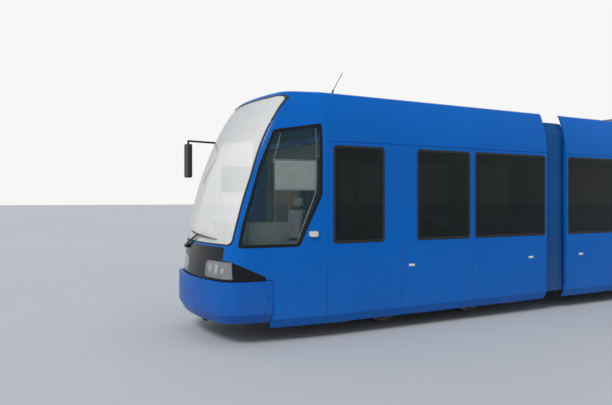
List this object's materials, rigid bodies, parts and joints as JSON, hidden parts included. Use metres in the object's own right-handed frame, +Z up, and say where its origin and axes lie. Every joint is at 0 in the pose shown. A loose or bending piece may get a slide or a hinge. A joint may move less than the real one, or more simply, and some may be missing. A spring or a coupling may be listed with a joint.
{
  "type": "articulated low-floor tram",
  "caption": "Articulated low-floor tram with glazed nose, hinged body sections, bogies and a folding roof current collector.",
  "frame": {"origin": "centre line of the tram at mid length, level with the bottoms of the wheel flanges; the rail head would be 27 mm higher", "axes": "-X forward, along the direction of travel; +Y to the tram's right, the door side; +Z up"},
  "size_m": [20.3996, 2.349, 3.7923],
  "materials": {
    "body_blue": "glossy",
    "glazing": "glossy",
    "lamp_panel": "glossy",
    "lamp_glass": "glossy",
    "tail_red": "glossy",
    "amber": "glossy",
    "bumper_blue": "glossy",
    "floor_grey": "matte",
    "interior_grey": "matte",
    "seat_shell": "matte",
    "driver_fabric": "matte",
    "rail_yellow": "glossy",
    "running_gear": "matte",
    "wheel_steel": "worn",
    "gangway_blue": "satin",
    "roof_grey": "matte",
    "mirror_black": "satin",
    "collector_steel": "satin"
  },
  "bodies": {
    "middle_section": {"middle_side_walls": "body_blue", "middle_roof": "body_blue", "middle_windows": "glazing", "middle_doors": "body_blue", "middle_underframe": "floor_grey", "middle_seats": "seat_shell", "middle_handrails": "rail_yellow", "middle_roof_unit": "roof_grey", "front_gangway": "gangway_blue", "rear_gangway": "gangway_blue", "pantograph_base": "collector_steel"},
    "front_section": {"cab_shell": "body_blue", "windscreen": "glazing", "cab_side_windows": "glazing", "headlamp_panel": "lamp_panel", "headlamps": "lamp_glass", "front_bumper": "bumper_blue", "driver_desk": "interior_grey", "driver_seat": "driver_fabric", "cab_partition": "interior_grey", "mirror": "mirror_black", "antenna": "mirror_black", "turn_indicators": "amber", "front_side_walls": "body_blue", "front_roof": "body_blue", "front_windows": "glazing", "front_door": "body_blue", "front_underframe": "floor_grey", "front_seats": "seat_shell", "front_handrails": "rail_yellow", "front_bogie": "running_gear", "front_roof_unit": "roof_grey"},
    "rear_section": {"tail_shell": "body_blue", "tail_screen": "glazing", "tail_side_windows": "glazing", "tail_lamp_panel": "lamp_panel", "tail_lamps": "tail_red", "rear_bumper": "bumper_blue", "rear_side_walls": "body_blue", "rear_roof": "body_blue", "rear_windows": "glazing", "rear_door": "body_blue", "rear_underframe": "floor_grey", "rear_seats": "seat_shell", "rear_handrails": "rail_yellow", "rear_bogie": "running_gear", "rear_roof_unit": "roof_grey"},
    "wheelset_1": {"wheelset_1": "wheel_steel"},
    "wheelset_2": {"wheelset_2": "wheel_steel"},
    "wheelset_3": {"wheelset_3": "wheel_steel"},
    "wheelset_4": {"wheelset_4": "wheel_steel"},
    "pantograph_lower_arm": {"pantograph_lower_arm": "collector_steel"},
    "pantograph_upper_arm": {"pantograph_upper_arm": "collector_steel"},
    "pantograph_head": {"pantograph_head": "collector_steel"}
  },
  "joints": [
    {"name": "front_articulation", "type": "hinge", "parent": "middle_section", "child": "front_section", "pos_m": [-3.9, 0, 0.35], "axis": [0, 0, 1], "range_deg": [-22, 22]},
    {"name": "rear_articulation", "type": "hinge", "parent": "middle_section", "child": "rear_section", "pos_m": [3.9, 0, 0.35], "axis": [0, 0, 1], "range_deg": [-22, 22]},
    {"name": "wheelset_1_spin", "type": "hinge", "parent": "front_section", "child": "wheelset_1", "pos_m": [-7.25, 0, 0.357], "axis": [0, 1, 0], "continuous": true},
    {"name": "wheelset_2_spin", "type": "hinge", "parent": "front_section", "child": "wheelset_2", "pos_m": [-5.45, 0, 0.357], "axis": [0, 1, 0], "continuous": true},
    {"name": "wheelset_3_spin", "type": "hinge", "parent": "rear_section", "child": "wheelset_3", "pos_m": [5.45, 0, 0.357], "axis": [0, 1, 0], "continuous": true},
    {"name": "wheelset_4_spin", "type": "hinge", "parent": "rear_section", "child": "wheelset_4", "pos_m": [7.25, 0, 0.357], "axis": [0, 1, 0], "continuous": true},
    {"name": "pantograph_raise", "type": "hinge", "parent": "middle_section", "child": "pantograph_lower_arm", "pos_m": [-0.1, 0, 3.38], "axis": [0, -1, 0], "range_deg": [0, 48]},
    {"name": "pantograph_knee", "type": "hinge", "parent": "pantograph_lower_arm", "child": "pantograph_upper_arm", "pos_m": [1.39429, 0, 3.51073], "axis": [0, -1, 0], "range_deg": [-96.2, 0]},
    {"name": "pantograph_head_level", "type": "hinge", "parent": "pantograph_upper_arm", "child": "pantograph_head", "pos_m": [-0.25345, 0, 3.59709], "axis": [0, -1, 0], "range_deg": [0, 48.2]}
  ],
  "couplings": [
    {"joint": "pantograph_knee", "follows": "pantograph_raise", "ratio": -2},
    {"joint": "pantograph_head_level", "follows": "pantograph_raise", "ratio": 1}
  ]
}
